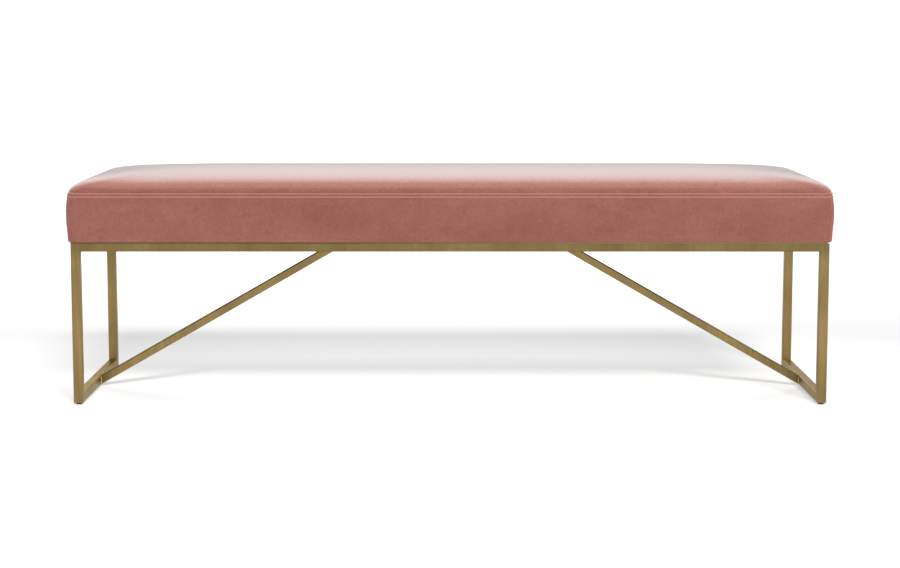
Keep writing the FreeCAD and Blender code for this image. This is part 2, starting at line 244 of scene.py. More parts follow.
# The camera
FOCAL_LENGTH = 82.24
SENSOR_WIDTH = 36
CAMERA_PLACE = (0, -4.3291, 0.7556)
CAMERA_TILT = 0.1235

# The floor, and its glow near, far from and in front of the bench: the brightness at one distance and
# at another, then those two distances
FLOOR_LOW = Vector((-12, -12, 0))
FLOOR_HIGH = Vector((12, 36, 0))
FLOOR_SQUEEZE = (0.45, 1, 1)
GLOW_NEAR = (0.45, 0.23, 0.4, 0.85)
GLOW_FAR = (0, 0.8, 0.95, 4.3)
GLOW_FRONT = (0.15, 0, -0.8, -0.35)

# The black card behind the bench
FLAG_LOW = Vector((-2.4, 2.6, 0.02))
FLAG_HIGH = Vector((-0.3, 2.6, 1.1))

# The light all round, and the lamps: place, width, height and watts
WORLD_LIGHT = 0.2
LIT_POINT = Vector((0, 0, 0.3))
LAMPS = {
    "overhead": ((0, 0.2, 2.6), 3.2, 1.8, 14),
    "key": ((3.1, -15.2, 12.0), 7.0, 2.8, 2700),
    "rear_fill": ((-0.6, 3.4, 2.0), 2.2, 1.0, 45),
}


# Material nodes

class Tree:
    """A short way to write the nodes of a material or of the world."""

    def __init__(self, owner):
        owner.use_nodes = True
        self.nodes = owner.node_tree.nodes
        self.links = owner.node_tree.links

    def add(self, kind, **settings):
        item = self.nodes.new(kind)
        for name, value in settings.items():
            setattr(item, name, value)
        return item

    def join(self, source, item, socket):
        self.links.new(source, item.inputs[socket])

    def give(self, item, socket, value):
        """A socket takes another node's output or a plain value."""
        if isinstance(value, bpy.types.NodeSocket):
            self.join(value, item, socket)
        else:
            item.inputs[socket].default_value = value

    def spread(self, source, low, high, floor=0.3, ceiling=0.7):
        """Maps values from floor to ceiling, such as a noise gives, onto low to high."""
        item = self.add("ShaderNodeMapRange")
        limits = {"From Min": floor, "From Max": ceiling, "To Min": low, "To Max": high}
        for socket, value in limits.items():
            item.inputs[socket].default_value = value
        self.join(source, item, "Value")
        return item.outputs["Result"]

    def maths(self, operation, *values):
        item = self.add("ShaderNodeMath", operation=operation)
        for index, value in enumerate(values):
            self.give(item, index, value)
        return item.outputs[0]

    def seen(self):
        """1 for rays that look at a backdrop, straight or through gloss or glass."""
        path = self.add("ShaderNodeLightPath")
        shown = self.maths("MAXIMUM", path.outputs["Is Camera Ray"], path.outputs["Is Glossy Ray"])
        return self.maths("MAXIMUM", shown, path.outputs["Is Transmission Ray"])


class Finish(Tree):
    """A material with one shader, whose patterns lie in the object's own space."""

    def __init__(self, name, **shader):
        self.material = bpy.data.materials.new(name)
        super().__init__(self.material)
        self.shader = self.nodes["Principled BSDF"]
        for socket, value in shader.items():
            self.shader.inputs[socket.replace("_", " ")].default_value = value
        self.place = self.add("ShaderNodeTexCoord").outputs["Object"]

    def noise(self, scale, detail=2.0, stretch=(1, 1, 1), distortion=0.0, roughness=0.5):
        mapping = self.add("ShaderNodeMapping")
        mapping.inputs["Scale"].default_value = stretch
        self.join(self.place, mapping, "Vector")
        item = self.add("ShaderNodeTexNoise")
        item.inputs["Scale"].default_value = scale
        item.inputs["Detail"].default_value = detail
        item.inputs["Roughness"].default_value = roughness
        item.inputs["Distortion"].default_value = distortion
        self.join(mapping.outputs["Vector"], item, "Vector")
        return item.outputs["Fac"]

    def ramp(self, source, *stops):
        """Turns a value into a colour, by stops of a value and its colour."""
        item = self.add("ShaderNodeValToRGB")
        elements = item.color_ramp.elements
        while len(elements) < len(stops):
            elements.new(0.5)
        for element, (place, colour) in zip(elements, stops):
            element.position = place
            element.color = (*colour, 1)
        self.join(source, item, "Fac")
        return item.outputs["Color"]

    def mix(self, first, second, share, blend="MIX"):
        item = self.add("ShaderNodeMix", data_type="RGBA", blend_type=blend)
        self.give(item, 0, share)
        for socket, colour in ((6, first), (7, second)):
            self.give(item, socket, colour if isinstance(colour, bpy.types.NodeSocket) else (*colour, 1))
        return item.outputs[2]

    def split(self, source):
        """The X, Y and Z of a vector, as outputs by name."""
        parts = self.add("ShaderNodeSeparateXYZ")
        self.join(source, parts, "Vector")
        return parts.outputs

    def upwardness(self):
        """How far a face looks up: 1 on top, 0 on a side and less underneath."""
        return self.split(self.add("ShaderNodeNewGeometry").outputs["Normal"])["Z"]

    def bump(self, *layers):
        """Each layer is a height, a strength and a distance in metres."""
        normal = None
        for height, strength, distance in layers:
            item = self.add("ShaderNodeBump")
            item.inputs["Strength"].default_value = strength
            item.inputs["Distance"].default_value = distance
            self.join(height, item, "Height")
            if normal is not None:
                self.join(normal, item, "Normal")
            normal = item.outputs["Normal"]
        self.join(normal, self.shader, "Normal")

    def paint(self, colour, roughness):
        self.join(colour, self.shader, "Base Color")
        self.join(roughness, self.shader, "Roughness")


def grey(value):
    return (value, value, value)


WHITE = grey(1)


# Materials

# A painted sheen on the cushion's top: its colour from a fairly slanting look at it to a grazing one
PAINTED_TOP_SHEEN = (
    (0.25, (0.41, 0.168, 0.136)),
    (0.42, (0.48, 0.205, 0.165)),
    (0.5, (0.50, 0.215, 0.175)),
    (0.59, (0.545, 0.245, 0.200)),
    (0.68, (0.72, 0.405, 0.355)),
    (0.765, (0.775, 0.628, 0.60)),
    (0.92, (0.95, 0.815, 0.805)),
)
# Painted sheen where the cushion's surface turns away from the view, and the colour of a painted highlight
# on the seam ridges and along the base fold
PAINTED_SLANT_SHEEN = (0.56, 0.225, 0.180)
PAINTED_HIGHLIGHT_COLOUR = (0.56, 0.255, 0.205)
# The tone of the fine marks that hands and brushing leave
PILE_MARKS = (
    (0.34, (0.74, 0.73, 0.73)),
    (0.43, WHITE),
    (0.58, WHITE),
    (0.68, (1.24, 1.26, 1.26)),
)

# The brass: painted shade by level, darker right under the cushion, and a painted highlight along the
# upper edge on the right, as the levels where it begins and the stretch along the bench where it grows
PAINTED_SHADE_BY_LEVEL = ((0.0, WHITE), (290 * MM, grey(0.94)), (315 * MM, grey(0.67)))
EDGE_HIGHLIGHT_LEVELS = (FRAME_TOP - 2.2 * MM, FRAME_TOP - 1.2 * MM)
EDGE_HIGHLIGHT_STRETCH = (-250 * MM, 250 * MM)
PAINTED_EDGE_HIGHLIGHT = (0.92, 0.80, 0.64)
# Its tint where it mirrors at a slant, the painted shade on the braces' upper edges, and how much
# brighter the weld beads are painted, a painted highlight
BRASS_GLEAM = (0.80, 0.75, 0.66)
PAINTED_SLOPE_SHADE = (0.30, 0.26, 0.20)
PAINTED_WELD_HIGHLIGHT = 2.2


def velvet():
    """Short-pile velvet: cloudy shading where the pile lies differently, and a fine nap."""
    tree = Finish(
        "rose_velvet",
        Sheen_Weight=1.0,
        Sheen_Roughness=0.3,
        Sheen_Tint=(1.0, 0.93, 0.92, 1),
        Specular_IOR_Level=0.15,
    )
    clouds = tree.noise(7, 3, (1, 1, 1.6), 0.6)
    strokes = tree.noise(75, 4, (1, 1, 0.7), 1.6, 0.6)
    marks = tree.noise(130, 4, (0.5, 0.5, 1.5), 1.8, 0.7)
    nap = tree.noise(1500, 2)
    tone = tree.ramp(clouds, (0.3, (0.330, 0.122, 0.095)), (0.7, (0.397, 0.157, 0.125)))
    stroke_tone = tree.ramp(strokes, (0.3, (0.80, 0.78, 0.78)), (0.72, grey(1.12)))
    mark_tone = tree.ramp(marks, *PILE_MARKS)
    nap_tone = tree.ramp(nap, (0.3, grey(0.88)), (0.7, grey(1.08)))
    # Painted sheen: the surface turns a paler rose as it is seen more at a slant, and pale on top at a
    # grazing look
    facing = tree.add("ShaderNodeLayerWeight").outputs["Facing"]
    colour = tree.mix(tone, PAINTED_SLANT_SHEEN, tree.spread(facing, 0, 1, 0.3, 0.75))
    top_sheen = tree.ramp(facing, *PAINTED_TOP_SHEEN)
    raised = tree.spread(tree.upwardness(), 0, 1, 0.0, 0.45)
    shown = tree.spread(facing, 0, 1, 0.15, 0.35)
    colour = tree.mix(colour, top_sheen, tree.maths("MULTIPLY", raised, shown))
    # At a grazing look the marks fade under the painted sheen
    clear = tree.spread(facing, 1, 0.2, 0.62, 0.80)
    for marking, strength in ((stroke_tone, 0.6), (mark_tone, 0.8), (nap_tone, 0.6)):
        colour = tree.mix(colour, marking, tree.maths("MULTIPLY", clear, strength), "MULTIPLY")
    # Painted highlight on the seam ridges and the base fold, from a share stored on the mesh
    highlight_share = tree.add("ShaderNodeAttribute", attribute_name="ridge_and_fold_highlight")
    colour = tree.mix(colour, PAINTED_HIGHLIGHT_COLOUR, highlight_share.outputs["Fac"])
    tree.paint(colour, tree.spread(strokes, 0.78, 0.95))
    tree.bump((strokes, 0.25, 0.0012), (nap, 0.35, 0.0002))
    return tree.material


def brass(name="antique_brass", lift=None, slope_shade_tone=None):
    """Antique brass plate, brushed upright and uneven in tone.

    It has painted shade, dark right under the cushion, and a painted highlight along the upper edge
    on the right. A lift brightens it all over. Where a slope_shade_tone is given, faces that slope up
    take it as painted shade at their edges and half of it on the flat.
    """
    tree = Finish(name, Metallic=1.0, Specular_Tint=(*BRASS_GLEAM, 1))
    tone = tree.noise(9, 3, (1.6, 1.6, 1), 0.3)
    streaks = tree.noise(150, 3, (1, 1, 0.05), 0, 0.6)
    hairlines = tree.noise(900, 2, (1, 1, 0.03), 0, 0.6)
    colour = tree.ramp(tone, (0.32, (0.235, 0.172, 0.066)), (0.68, (0.311, 0.216, 0.086)))
    streak_tone = tree.ramp(streaks, (0.3, (0.82, 0.82, 0.80)), (0.7, (1.12, 1.12, 1.14)))
    colour = tree.mix(colour, streak_tone, 0.7, "MULTIPLY")
    place = tree.split(tree.place)
    # Painted shade: darker by level, most right under the cushion
    colour = tree.mix(colour, tree.ramp(place["Z"], *PAINTED_SHADE_BY_LEVEL), 1.0, "MULTIPLY")
    # Painted highlight along the upper edge, growing towards the right
    upper_edge = tree.spread(place["Z"], 0, 1, *EDGE_HIGHLIGHT_LEVELS)
    highlight_side = tree.spread(place["X"], 0, 1, *EDGE_HIGHLIGHT_STRETCH)
    colour = tree.mix(colour, PAINTED_EDGE_HIGHLIGHT, tree.maths("MULTIPLY", upper_edge, highlight_side))
    # On the weld beads the lift is a painted highlight
    if lift is not None:
        colour = tree.mix(colour, grey(lift), 1.0, "MULTIPLY")
    # Painted shade on faces that slope up, which also dims their reflections
    if slope_shade_tone is not None:
        slope_shade = tree.ramp(
            tree.upwardness(),
            (0.15, WHITE),
            (0.35, slope_shade_tone),
            (0.80, slope_shade_tone),
            (0.85, [(1 + value) / 2 for value in slope_shade_tone]),
        )
        colour = tree.mix(colour, slope_shade, 1.0, "MULTIPLY")
        tree.join(tree.mix(slope_shade, BRASS_GLEAM, 1.0, "MULTIPLY"), tree.shader, "Specular Tint")
    tree.paint(colour, tree.spread(streaks, 0.28, 0.42))
    tree.bump((streaks, 0.12, 0.0002), (hairlines, 0.25, 0.00005))
    return tree.material


def zinc():
    """Zinc-plated steel with a faint spangle."""
    tree = Finish("zinc_plate", Metallic=1.0)
    spangle = tree.noise(160, 3, distortion=0.8)
    colour = tree.ramp(spangle, (0.35, (0.42, 0.43, 0.42)), (0.65, (0.60, 0.61, 0.58)))
    tree.paint(colour, tree.spread(spangle, 0.28, 0.45))
    tree.bump((tree.noise(700, 2), 0.1, 0.0001))
    return tree.material


def nylon():
    """Dark brown moulded nylon with a fine grain."""
    tree = Finish("brown_nylon", Specular_IOR_Level=0.4)
    grain = tree.noise(600, 2)
    colour = tree.ramp(grain, (0.3, (0.035, 0.024, 0.012)), (0.7, (0.055, 0.040, 0.022)))
    tree.paint(colour, tree.spread(grain, 0.45, 0.65))
    tree.bump((grain, 0.3, 0.0001))
    return tree.material


def plywood():
    """Plywood with grain along the bench and its plies on the edges."""
    tree = Finish("plywood", Specular_IOR_Level=0.3)
    grain = tree.noise(22, 6, (0.12, 1, 1), 1.2, 0.6)
    plies = tree.add("ShaderNodeTexWave", wave_type="BANDS", bands_direction="Z")
    plies.inputs["Scale"].default_value = 105
    tree.join(tree.place, plies, "Vector")
    colour = tree.ramp(grain, (0.3, (0.46, 0.30, 0.16)), (0.7, (0.66, 0.48, 0.29)))
    ply_tone = tree.ramp(plies.outputs["Fac"], (0.3, (0.72, 0.66, 0.6)), (0.7, WHITE))
    tree.paint(tree.mix(colour, ply_tone, 0.6, "MULTIPLY"), tree.spread(grain, 0.6, 0.75))
    tree.bump((grain, 0.2, 0.0003))
    return tree.material


def lining_cloth():
    """Black spun-bonded cloth with its small welded dots."""
    tree = Finish("black_lining", Sheen_Weight=0.2, Specular_IOR_Level=0.25)
    fibres = tree.noise(500, 4, (1, 1, 1), 1.5, 0.7)
    dots = tree.add("ShaderNodeTexVoronoi", feature="F1")
    dots.inputs["Scale"].default_value = 700
    dots.inputs["Randomness"].default_value = 0.15
    tree.join(tree.place, dots, "Vector")
    dot_height = tree.spread(dots.outputs["Distance"], 0, 1, 0.15, 0.35)
    colour = tree.ramp(fibres, (0.3, (0.012, 0.012, 0.013)), (0.7, (0.035, 0.034, 0.036)))
    tree.paint(colour, tree.spread(fibres, 0.7, 0.9))
    tree.bump((dot_height, 0.4, 0.0002), (fibres, 0.3, 0.0002))
    return tree.material


# Mesh helpers

def share_between(value, low, high):
    """0 up to low, 1 from high on, and even in between."""
    return min(1, max(0, (value - low) / (high - low)))


def new_object(name, points, faces):
    mesh = bpy.data.meshes.new(name)
    mesh.from_pydata([tuple(point) for point in points], [], faces)
    item = bpy.data.objects.new(name, mesh)
    scene.collection.objects.link(item)
    return item


def piece(name, points, faces, material, body="bench", smooth=True):
    """A new object of the bench, riding on a body."""
    item = new_object(name, points, faces)
    item.data.validate()
    item.data.materials.append(material)
    if smooth:
        item.data.shade_smooth()
    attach(item, body)
    return item


def applied(item):
    """Replaces an object's mesh by what its modifiers make of it."""
    graph = bpy.context.evaluated_depsgraph_get()
    mesh = bpy.data.meshes.new_from_object(item.evaluated_get(graph))
    item.modifiers.clear()
    item.data = mesh
    return mesh


def add_tube(faces, base, ring, rows):
    """Faces between rows of ring points, the first of which has the number base."""
    for row in range(rows - 1):
        for index in range(ring):
            after = (index + 1) % ring
            near = base + row * ring
            far = near + ring
            faces.append((near + index, near + after, far + after, far + index))


def add_closed_tube(faces, base, ring, rows):
    """A tube with a face at both ends."""
    add_tube(faces, base, ring, rows)
    faces.append(tuple(base + index for index in reversed(range(ring))))
    faces.append(tuple(base + (rows - 1) * ring + index for index in range(ring)))


def add_turned(points, faces, outline, centre, segments):
    """A turned solid from pairs of radius and level, whose first and last radius close it."""
    base = len(points)
    for radius, level in outline:
        for step in range(segments):
            angle = 2 * math.pi * step / segments
            x = centre[0] + radius * math.cos(angle)
            y = centre[1] + radius * math.sin(angle)
            points.append((x, y, centre[2] + level))
    add_closed_tube(faces, base, segments, len(outline))


# The cushion's form

def plan_ring(overhang, radius):
    """Points round the seat, anticlockwise from above: the frame's outline grown by overhang.

    The points crowd at the middle of each corner, where the bands are sewn together.
    """
    x = HALF_LENGTH + overhang - radius
    y = HALF_DEPTH + overhang - radius
    corners = (
        (x, -y, -90, SHORT_STEPS),
        (x, y, 0, LONG_STEPS),
        (-x, y, 90, SHORT_STEPS),
        (-x, -y, 180, LONG_STEPS),
    )
    arcs = []
    for centre_x, centre_y, start, _ in corners:
        arc = []
        for step in range(CORNER_STEPS + 1):
            share = step / CORNER_STEPS
            share += CORNER_CROWDING * math.sin(2 * math.pi * share) / (2 * math.pi)
            angle = math.radians(start + 90 * share)
            arc.append(Vector((centre_x + radius * math.cos(angle), centre_y + radius * math.sin(angle))))
        arcs.append(arc)
    points = []
    for arc, next_arc, (_, _, _, steps) in zip(arcs, arcs[1:] + arcs[:1], corners):
        points.extend(arc)
        points.extend(arc[-1].lerp(next_arc[0], step / steps) for step in range(1, steps))
    return points


def base_rows():
    """The inside of the cushion, round the deck, and the edge that is turned under it."""
    inner = BASE_OVERHANG - CLOTH
    edge = -(TUBE + TURN_PAST_RAIL)
    corner = COVER_CORNER - CLOTH
    rows = [
        (inner, DECK_TOP + LAP_GAP, corner),
        (inner, DECK_BOTTOM - LAP_GAP, corner),
        (edge, DECK_BOTTOM - LAP_GAP, corner),
    ]
    flat = BASE_OVERHANG - BASE_FOLD
    for step in range(TURNED_STEPS + 1):
        rows.append((edge + (flat - edge) * step / TURNED_STEPS, BASE_LEVEL, COVER_CORNER))
    return rows


def fold_rows():
    """The rounded fold between the turned edge and the bands."""
    rows = []
    for step in range(1, FOLD_STEPS + 1):
        angle = math.pi / 2 * step / FOLD_STEPS
        overhang = BASE_OVERHANG - BASE_FOLD * (1 - math.sin(angle))
        rows.append((overhang, BASE_LEVEL + BASE_FOLD * (1 - math.cos(angle)), COVER_CORNER))
    return rows


def band_rows(belly_overhang):
    """The bands, out to their belly and in again to the seam, with fine steps near the stitching."""
    start = BASE_LEVEL + BASE_FOLD
    belly = FRAME_TOP + (SEAM_LEVEL - FRAME_TOP) * BELLY_SHARE
    rows = []
    for step in range(1, BELLY_STEPS + 1):
        share = (step / BELLY_STEPS) ** BELLY_CROWDING
        bulge = (belly_overhang - BASE_OVERHANG) * (1 - (1 - share) ** 2)
        rows.append((BASE_OVERHANG + bulge, start + (belly - start) * share, COVER_CORNER))
    fine_from = SEAM_LEVEL - SEAM_ZONE
    levels = list(np.linspace(belly, fine_from, SIDE_ROWS))[1:]
    levels += list(np.linspace(fine_from, SEAM_LEVEL, SEAM_ROWS))[1:]
    for level in levels:
        share = (SEAM_LEVEL - level) / (SEAM_LEVEL - belly)
        bulge = (belly_overhang - SEAM_OVERHANG) * (1 - (1 - share) ** 2)
        rows.append((SEAM_OVERHANG + bulge, level, COVER_CORNER))
    return rows


def crown_rows(crown, power):
    """The crown, from the seam towards its flat middle."""
    rows = []
    for step in range(1, CROWN_STEPS + 1):
        share = step / CROWN_STEPS * CROWN_CLOSED
        angle = math.pi / 2 * share ** CROWN_SPREAD
        lift = math.sin(angle) ** (2 / power)
        overhang = SEAM_OVERHANG - CROWN_RUN * (1 - math.cos(angle))
        corner = COVER_CORNER + (CROWN_CORNER - COVER_CORNER) * share
        corner = min(corner, (HALF_DEPTH + overhang) * LARGEST_CORNER)
        rows.append((overhang, SEAM_LEVEL + crown * lift, corner))
    return rows


def outer_rows(belly_overhang, crown, power):
    """The cushion's outline from the fold at its base over the band to the crown's flat middle."""
    return fold_rows() + band_rows(belly_overhang) + crown_rows(crown, power)


def end_fullness(x, level):
    """How much the crown rises at its full shoulders above the end seams, and eases down further in."""
    raised = max(0, level - SEAM_LEVEL) / (CROWN_TOP - SEAM_LEVEL)
    shares = (4 * raised * max(0, 1 - raised), raised)
    rise = 0
    for (place, width, height), share in zip((END_SHOULDER, END_EASED), shares):
        rise += share * height * math.exp(-(((HALF_LENGTH - abs(x) - place) / width) ** 2))
    return rise


def zipped(first, second):
    """Triangles between two chains of points that run side by side."""
    faces = []
    i = 0
    j = 0
    while i < len(first) - 1 or j < len(second) - 1:
        if (i + 1) * (len(second) - 1) <= (j + 1) * (len(first) - 1):
            faces.append((first[i], first[i + 1], second[j]))
            i += 1
        else:
            faces.append((first[i], second[j + 1], second[j]))
            j += 1
    return faces


def crown_columns(points, count):
    """Chains of points from front to rear that fill the last ring with the crown's shallow cap."""
    base = len(points) - count
    middle = CORNER_STEPS + SHORT_STEPS // 2
    half = count // 2
    side = SHORT_STEPS // 2
    columns = [[base + middle + step for step in range(-side, side + 1)]]
    for step in range(side + 1, half - side):
        front = base + (middle - step) % count
        rear = base + (middle + step) % count
        wide = (points[front] - points[rear]).length / (2 * HALF_DEPTH)
        column = [front]
        for row in range(1, CROWN_COLUMNS):
            share = row / CROWN_COLUMNS
            column.append(len(points))
            point = points[front].lerp(points[rear], share)
            point.z += CAP_RISE * 4 * share * (1 - share) * wide * wide
            points.append(point)
        columns.append(column + [rear])
    columns.append([base + (middle + half + step) % count for step in range(side, -side - 1, -1)])
    return columns


def ring_form(rows):
    """Points and faces of rings laid on each other, with the last one closed by columns across it."""
    points = []
    for overhang, level, corner in rows:
        for place in plan_ring(overhang, corner):
            points.append(Vector((place.x, place.y, level + end_fullness(place.x, level))))
    count = len(points) // len(rows)
    faces = []
    add_tube(faces, 0, count, len(rows))
    faces.append(tuple(reversed(range(count))))
    columns = crown_columns(points, count)
    for first, second in zip(columns, columns[1:]):
        faces.extend(zipped(first, second))
    return points, faces, count


# The cushion's swelling

def hold(form):
    """Holds the form's base and the strip by its seam while the cloth swells."""
    held = form.vertex_groups.new(name="held")
    for vertex in form.data.vertices:
        proud = max(abs(vertex.co.x) - HALF_LENGTH, abs(vertex.co.y) - HALF_DEPTH)
        near_seam = abs(vertex.co.z - SEAM_LEVEL) < VOXEL and proud > SEAM_OVERHANG - 2 * VOXEL
        if vertex.co.z < FRAME_TOP + VOXEL or near_seam:
            held.add([vertex.index], 1.0, "REPLACE")


def blow_up(form):
    """Runs the cloth simulation on a form and applies it."""
    cloth = form.modifiers.new("cloth", "CLOTH")
    for name, value in CLOTH_SETTINGS.items():
        setattr(cloth.settings, name, value)
    cloth.settings.vertex_group_mass = "held"
    cloth.settings.effector_weights.gravity = 0
    cloth.collision_settings.use_collision = False
    cloth.point_cache.frame_start = 1
    cloth.point_cache.frame_end = CLOTH_FRAMES
    for number in range(1, CLOTH_FRAMES + 1):
        scene.frame_set(number)
    mesh = applied(form)
    scene.frame_set(1)
    return mesh


def swollen_form():
    """The cushion blown up by cloth simulation from a slimmer start, held at its base and seam."""
    points, faces, _ = ring_form(outer_rows(START_BELLY, START_CROWN, START_POWER))
    form = new_object("swollen_form", points, faces)
    remesh = form.modifiers.new("remesh", "REMESH")
    remesh.mode = "VOXEL"
    remesh.voxel_size = VOXEL
    mesh = applied(form)
    before = [vertex.co.copy() for vertex in mesh.vertices]
    outward = [vertex.normal.copy() for vertex in mesh.vertices]
    hold(form)
    mesh = blow_up(form)
    for vertex, start, normal in zip(mesh.vertices, before, outward):
        swelling = (vertex.co - start).dot(normal)
        vertex.co = start + normal * max(-FOAM_GIVE, min(SWELL_CAP, swelling))
    tree = BVHTree.FromObject(form, bpy.context.evaluated_depsgraph_get())
    bpy.data.objects.remove(form)
    return tree


def evened(mesh, values, passes):
    """Values on a mesh's points, averaged with their neighbours a number of times."""
    edges = np.empty(len(mesh.edges) * 2, int)
    mesh.edges.foreach_get("vertices", edges)
    first, second = edges.reshape(-1, 2).T
    links = np.bincount(edges, minlength=len(values))
    for _ in range(passes):
        total = np.bincount(first, values[second], len(values))
        total += np.bincount(second, values[first], len(values))
        values = (values + total / links) / 2
    return values


def swell(mesh, first_row, count):
    """Moves the cover's points out or in to the swollen form."""
    form = swollen_form()
    normals = [vertex.normal.copy() for vertex in mesh.vertices]
    shifts = np.zeros(len(mesh.vertices))
    for vertex in mesh.vertices[first_row * count:]:
        normal = normals[vertex.index]
        place, _, _, distance = form.ray_cast(vertex.co + normal * SWELL_REACH, -normal, 2 * SWELL_REACH)
        if place is not None:
            shifts[vertex.index] = SWELL_REACH - distance
    shifts = evened(mesh, shifts, EVENING_PASSES)
    for vertex, normal, shift in zip(mesh.vertices, normals, shifts):
        free = share_between(vertex.co.z, FRAME_TOP + HELD_BASE, FRAME_TOP + 2 * HELD_BASE)
        vertex.co += normal * shift * free


# The cushion's seams

def seam_relief(level):
    """How far the twin stitched ridges stand out, or their grooves sink, at a level."""
    relief = 0
    for place, height, width in SEAM_RIDGES:
        relief += height * math.exp(-(((level - SEAM_LEVEL - place) / width) ** 2))
    return relief


def base_light(step, x):
    """A painted highlight over the fold at the cushion's base too, over more of it on the right."""
    left, right = (strength if step in steps else 0 for steps, strength in (HIGHLIGHT_LEFT, HIGHLIGHT_RIGHT))
    return left + (right - left) * share_between(x, -HALF_LENGTH / 2, HALF_LENGTH / 2)


def press_corner_seams(mesh, normals, base):
    """Sinks the seams between the bands, in the row of points that begins at base."""
    start = base
    for side_steps in (SHORT_STEPS, LONG_STEPS, SHORT_STEPS, LONG_STEPS):
        middle = mesh.vertices[start + CORNER_STEPS // 2].co.copy()
        for index in range(start, start + CORNER_STEPS + 1):
            vertex = mesh.vertices[index]
            away = (vertex.co - middle).length / CORNER_SEAM_WIDTH
            vertex.co -= normals[index] * CORNER_SEAM_DEPTH * math.exp(-away * away)
        start += CORNER_STEPS + side_steps


def sew(mesh, rows, count):
    """Presses the stitched ridges and the corner seams into the cover, and stores a painted highlight on
    the ridges and the base fold.
    """
    normals = [vertex.normal.copy() for vertex in mesh.vertices]
    highlight_share = mesh.attributes.new("ridge_and_fold_highlight", "FLOAT", "POINT")
    inside = len(base_rows())
    seam_row = len(rows) - CROWN_STEPS - 1
    for row in range(inside, len(rows)):
        relief = seam_relief(rows[row][1]) if row < len(rows) - CROWN_STEPS // 2 else 0
        for index in range(row * count, (row + 1) * count):
            vertex = mesh.vertices[index]
            vertex.co += normals[index] * relief
            # Painted highlight: its share on the ridges and over the base fold
            highlight_share.data[index].value = max(0, relief / RIDGE_FULL) + base_light(row - inside, vertex.co.x)
        if row < seam_row:
            press_corner_seams(mesh, normals, row * count)


def cushion(material):
    """The upholstered seat: one closed cover over its foam."""
    rows = base_rows() + outer_rows(BELLY_OVERHANG, CROWN_TOP - SEAM_LEVEL, CROWN_POWER)
    points, faces, count = ring_form(rows)
    item = piece("seat_cushion", points, faces, material)
    swell(item.data, len(base_rows()), count)
    sew(item.data, rows, count)
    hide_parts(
        "top_panel", "front_band", "rear_band", "left_band", "right_band", "batting", "foam_core"
    )
    return item, rows, count


def stitches(item, rows, count, material):
    """Short thread stitches along the two grooves, laid on the cushion's surface."""
    points = []
    faces = []
    outer = range(len(base_rows()), len(rows))
    for place in STITCH_ROWS:
        level = SEAM_LEVEL + place
        row = min(outer, key=lambda number: abs(rows[number][1] - level))
        ring = item.data.vertices[row * count:(row + 1) * count]
        route = [vertex.co.copy() for vertex in ring]
        normals = [vertex.normal.copy() for vertex in ring]
        travelled = 0.0
        next_start = 0.0
        for index in range(count):
            after = (index + 1) % count
            run = route[after] - route[index]
            while next_start < travelled + run.length:
                share = (next_start - travelled) / run.length
                centre = route[index].lerp(route[after], share)
                out = normals[index].lerp(normals[after], share).normalized()
                add_stitch(points, faces, centre, run.normalized(), out)
                next_start += STITCH_PITCH
            travelled += run.length
    piece("seam_stitches", points, faces, material)


def add_stitch(points, faces, centre, along, out):
    """One stitch: a slim six-sided bead that sinks at both ends."""
    side = along.cross(out)
    half = STITCH_LENGTH / 2
    radius = THREAD / 2
    start = len(points)
    points.append(centre - along * half - out * radius)
    for place in (-STITCH_FULL, STITCH_FULL):
        middle = centre + along * half * place + out * radius * (1 - STITCH_SUNK)
        for turn in range(STITCH_SIDES):
            angle = 2 * math.pi * turn / STITCH_SIDES
            points.append(middle + (out * math.cos(angle) + side * math.sin(angle)) * radius)
    end = len(points)
    points.append(centre + along * half - out * radius)
    near = start + 1
    far = near + STITCH_SIDES
    for turn in range(STITCH_SIDES):
        after = (turn + 1) % STITCH_SIDES
        faces.append((start, near + after, near + turn))
        faces.append((near + turn, near + after, far + after, far + turn))
        faces.append((end, far + turn, far + after))


# The dust cover and its staples

def slack_wave(x, y):
    """Slow waves that cross each other, with their turns in radians per metre."""
    return (math.sin(31 * x + 2 * math.sin(17 * y)) + math.sin(43 * y + 9 * x)) / 2


def cover_level(x, y, low, high, top):
    """The dust cover's upper or lower face: hemmed, and rippled away from whatever carries it."""
    if top:
        return FRAME_TOP + LINING_TOP
    from_end = min(x - low.x, high.x - x)
    from_side = min(y - low.y, high.y - y)
    inset = min(from_end, from_side)
    along = x if from_side < from_end else y
    hem = 1 / (1 + math.exp((inset - HEM) / HEM_EDGE))
    ripple = RIPPLE * math.sin(2 * math.pi * along / STAPLE_PITCH) * math.exp(-inset / RIPPLE_REACH)
    free = share_between(abs(abs(x) - CROSS_RAIL), TUBE, TUBE + LINING_EASE)
    away = share_between(inset, HEM, HEM + LINING_EASE)
    slack = RIPPLE * slack_wave(x, y) * away
    return FRAME_TOP + LINING_LOW + free * (ripple + slack - hem * HEM_DROP - away * SLACK_DROP)


